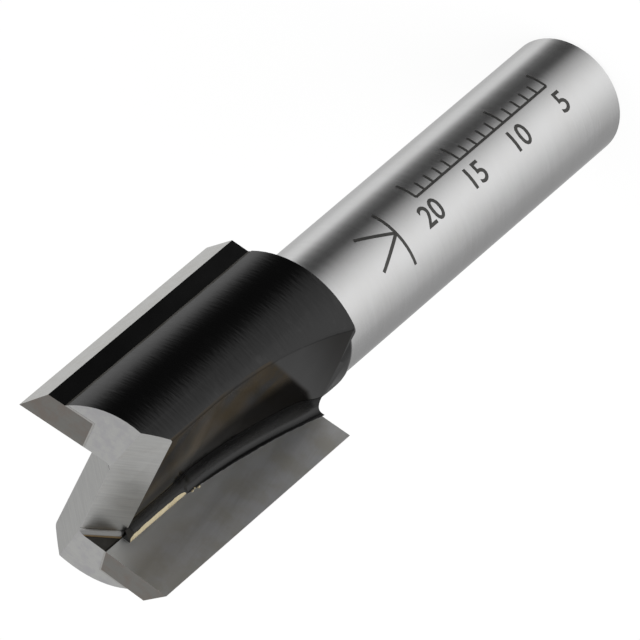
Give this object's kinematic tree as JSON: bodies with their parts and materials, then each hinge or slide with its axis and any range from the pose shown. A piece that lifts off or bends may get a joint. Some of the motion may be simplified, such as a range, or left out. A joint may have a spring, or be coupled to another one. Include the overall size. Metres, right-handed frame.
{
  "type": "router bit",
  "caption": "Straight router bit with a plain round shank, a black milled head, and carbide tips brazed beside its chip flutes.",
  "frame": {"origin": "centre of the shank's flat end, which the bit stands on", "axes": "+Z along the tool's axis towards the cutting end, +X through the cutting edge of tip 1"},
  "size_m": [0.014, 0.012, 0.053],
  "materials": {
    "tool_steel": "ground shank and end, head coated black",
    "carbide": "finely ground",
    "braze": "as brazed, wiped by the grinding wheel"
  },
  "bodies": {
    "root": {"cutter_body": "tool_steel", "carbide_tip_1": "carbide", "carbide_tip_2": "carbide", "braze_1": "braze", "braze_2": "braze"}
  },
  "joints": []
}
